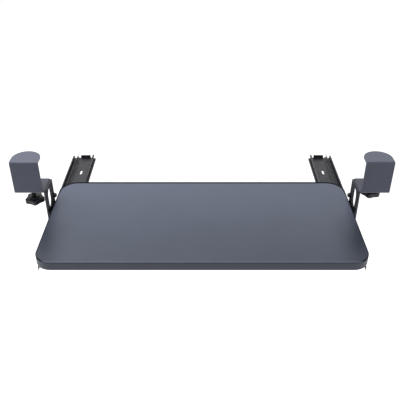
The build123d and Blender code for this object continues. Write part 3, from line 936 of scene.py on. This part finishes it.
def pan_head(bottom_up):
    """A domed head seen from its open side: the cross's floor, its rim, the dome and the seat."""
    arms = cross()
    radii = [arms * CROSS_FLOOR_SHARE, arms] + [PAN_RADIUS * share for share in PAN_OUT_SHARES]
    heights = [PAN_HEIGHT - CROSS_DEPTH] + [PAN_HEIGHT * share for share in PAN_UP_SHARES]
    radius, height = rings(radii, heights)
    return radius, bottom_up - height


def rivet_head(seat):
    """A flat head with a rounded rim that stands out from its seat by its height."""
    radii = [RIVET_RADIUS * share for share in RIVET_OUT_SHARES]
    radius, height = rings(radii, [rivet_height * share for share in RIVET_UP_SHARES])
    return radius, seat + height


print("a rivet's head stands", round(rivet_height, 2), "mm high under the cage")

# %% [markdown]
# ## Setting the screws and rivets in place
#
# The heads stand in a row along the middle of each slide. The screws ride on the tray, and the
# rivets stay with the clamps.

# %% Set the screws and rivets
SLIDE_CENTRE = 317.0
WEB_UNDERSIDE = -21.2
SCREW_PLACES = (-128.0, 7.0, 142.0)
RIVET_PLACES = (51.0, 323.0)

for side, sign in (("left", -1), ("right", 1)):
    screws = [upright(*pan_head(WEB_UNDERSIDE), (sign * SLIDE_CENTRE, y)) for y in SCREW_PLACES]
    add_piece("board_screws_" + side, screws, "tray", zinc, 35)
    rivets = [upright(*rivet_head(SLIDE_FLOOR), (sign * SLIDE_CENTRE, y)) for y in RIVET_PLACES]
    add_piece("slide_rivets_" + side, rivets, "desk_clamps", slide_black, 35)

# %% [markdown]
# ## Weld beads
#
# The nut that the clamp screw turns in is welded to the arm before painting. A weld is a row of
# overlapping drops, so its bead swells and shrinks along the seam. Here it is a ring round the
# hexagon whose outer foot ripples with the angle. It runs back to its own start and has no ends.

# %% Beads round the weld nuts
WELD_NUT_FLATS = 17.0
BEAD = 1.6
DROPS = 42
RIPPLE = 0.16
BULGE = 1.3
BEAD_TOP_SHARE = 0.9


def bead(seat):
    """A closed bead between the nut's side and the arm, with ripples.

    Its skin is (swell * cos^b t, swell * sin^b t) over a quarter turn of t, and the swell is
    bead * (1 + ripple |sin(drops a / 2)| - ripple / 2).
    """
    inner = hexagon(WELD_NUT_FLATS)
    swell = BEAD * (1 + RIPPLE * np.abs(np.sin(angles() * DROPS / 2)) - RIPPLE / 2)
    arc = np.linspace(0, np.pi / 2, EDGE_STEPS)
    outward = [np.cos(step) ** BULGE for step in arc]
    upward = [np.sin(step) ** BULGE for step in arc]
    behind = inner - EDGE_BREAK
    radii = [behind] + [inner + swell * share for share in outward] + [behind, behind]
    rise = [0 * swell] + [swell * share for share in upward] + [swell * BEAD_TOP_SHARE, 0 * swell]
    return np.concatenate(radii), seat + np.concatenate(rise)


for side in ("left", "right"):
    nut_axis, seat = middle("weld_nut_" + side)[:2]
    seam = upright(*bead(seat), nut_axis)
    add_piece("weld_bead_" + side, [seam], "desk_clamps", powder, 60)

# %% [markdown]
# ## Camera
#
# The picture is taken from in front of the tray and above it, looking down by about a third of
# a right angle. Its height and focal length follow from how fast the tray's sides run together.

# %% Camera
CAMERA_PLACE = (0.0, -1.056, 0.731)
LOOK_DOWN = 32.9
FOCAL_PIXELS = 579
PICTURE_PIXELS = 400
SENSOR_MM = 36.0
SIDE_SHIFT = -0.0052

bpy.context.scene.view_settings.view_transform = "Standard"
camera_data = bpy.data.cameras.new("camera")
camera_data.sensor_width = SENSOR_MM
camera_data.lens = SENSOR_MM * FOCAL_PIXELS / PICTURE_PIXELS
camera_data.shift_x = SIDE_SHIFT
camera = bpy.data.objects.new("camera", camera_data)
camera.location = CAMERA_PLACE
camera.rotation_euler = (math.radians(90 - LOOK_DOWN), 0.0, 0.0)
bpy.context.scene.collection.objects.link(camera)
bpy.context.scene.camera = camera
print("lens", round(camera_data.lens, 1), "mm")

# %% [markdown]
# ## Light and floor
#
# Large soft lamps suit satin paint. The main one hangs high on the left, a little behind the
# tray's middle, so that the paint shades slowly from left to right. A much weaker one stands in
# front on the right. The sky round the scene is white for the lens and dimmer for everything
# that it lights. The floor is pale paper that keeps the tray's shadow.

# %% Lamps, sky and floor
def area_lamp(name, place, target, size, watts):
    """A square lamp of the given size in metres that looks at the target."""
    data = bpy.data.lights.new(name, "AREA")
    data.size = size
    data.energy = watts
    lamp = bpy.data.objects.new(name, data)
    lamp.location = place
    lamp.rotation_euler = (Vector(target) - Vector(place)).to_track_quat("-Z", "Y").to_euler()
    bpy.context.scene.collection.objects.link(lamp)


area_lamp("lamp_top", place=(-0.8, 0.35, 1.8), target=(0, 0.1, 0), size=1.6, watts=32)
area_lamp("lamp_front", place=(1.0, -1.5, 1.5), target=(0, 0, 0), size=1.2, watts=2)

SKY_LIGHT = 0.22
FLOOR_Z = -0.69
FLOOR_SIZE = 30.0
FLOOR_GLOW = 0.75


def by_lens(finish):
    """1 for rays that end in the lens, also by way of a mirror or glass, and 0 for the rest."""
    rays = finish.tree.nodes.new("ShaderNodeLightPath")
    names = ("Is Camera Ray", "Is Glossy Ray", "Is Transmission Ray")
    camera_ray, glossy_ray, glass_ray = [Wire(finish, rays.outputs[name]) for name in names]
    return finish.math("MINIMUM", camera_ray + glossy_ray + glass_ray, 1.0)


class Sky(Finish):
    """The world's own node tree, written with the same helpers."""

    def __init__(self, name):
        self.world = bpy.data.worlds.new(name)
        self.world.use_nodes = True
        self.tree = self.world.node_tree
        self.shader = self.tree.nodes["Background"]


sky = Sky("sky")
sky.set(color=(1, 1, 1, 1), strength=by_lens(sky) * (1.0 - SKY_LIGHT) + SKY_LIGHT)
bpy.context.scene.world = sky.world

paper = Finish("paper_floor", base_color=(0.93, 0.93, 0.93, 1.0), roughness=0.9, emission_strength=1.0)
glow = (FLOOR_GLOW, FLOOR_GLOW, FLOOR_GLOW, 1.0)
paper.set(emission_color=paper.mix(by_lens(paper), (0, 0, 0, 1), glow))
bpy.ops.mesh.primitive_plane_add(size=FLOOR_SIZE, location=(0, 0, FLOOR_Z))
floor = bpy.context.object
floor.name = "floor"
floor.data.materials.append(paper.material)
floor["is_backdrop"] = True
print("lamps, sky and floor are ready")

# %% [markdown]
#
# The sizes of both boxes are printed: the exact model's and the dressed one's. The dressed
# model has to stay inside the exact one.

# %% Print the sizes of both boxes
dressed_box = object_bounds()
sizes = {}
for name, box in (("cad", cad_box), ("dressed", dressed_box)):
    sizes[name] = [list(corner) for corner in box]
for name, (low, high) in sizes.items():
    print(name, [round((b - a) / MM, 1) for a, b in zip(low, high)], "mm")
